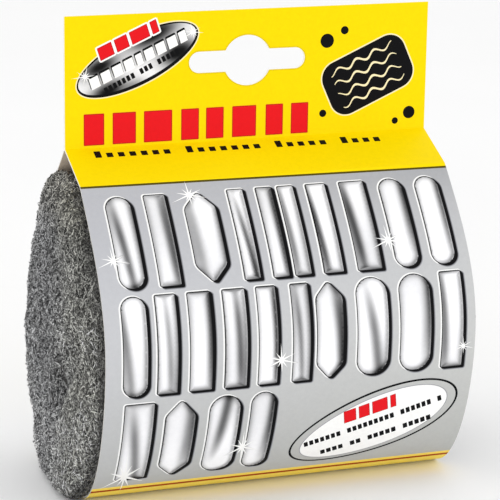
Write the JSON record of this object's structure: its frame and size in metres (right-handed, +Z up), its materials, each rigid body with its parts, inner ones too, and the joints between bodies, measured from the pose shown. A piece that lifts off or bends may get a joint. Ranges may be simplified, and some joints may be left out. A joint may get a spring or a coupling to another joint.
{
  "type": "banded steel wool pads",
  "caption": "Soft steel wool pads held in a folded printed card sleeve with a flat header and a slot to hang it by.",
  "frame": {"origin": "middle of the object's box in X and Y, on the floor that the sleeve's flat foot stands on", "axes": "+Z up, +X along the sleeve, -Y towards the printed front"},
  "size_m": [0.1086, 0.0672, 0.1237],
  "materials": {
    "printed_card": "varnished print on thin folding card: yellow header, silver grey panel",
    "steel_wool": "matted fine stainless fibres, dull grey with small glints"
  },
  "bodies": {
    "root": {"card_sleeve": "printed_card", "pad_front": "steel_wool", "pad_back": "steel_wool"}
  },
  "joints": []
}
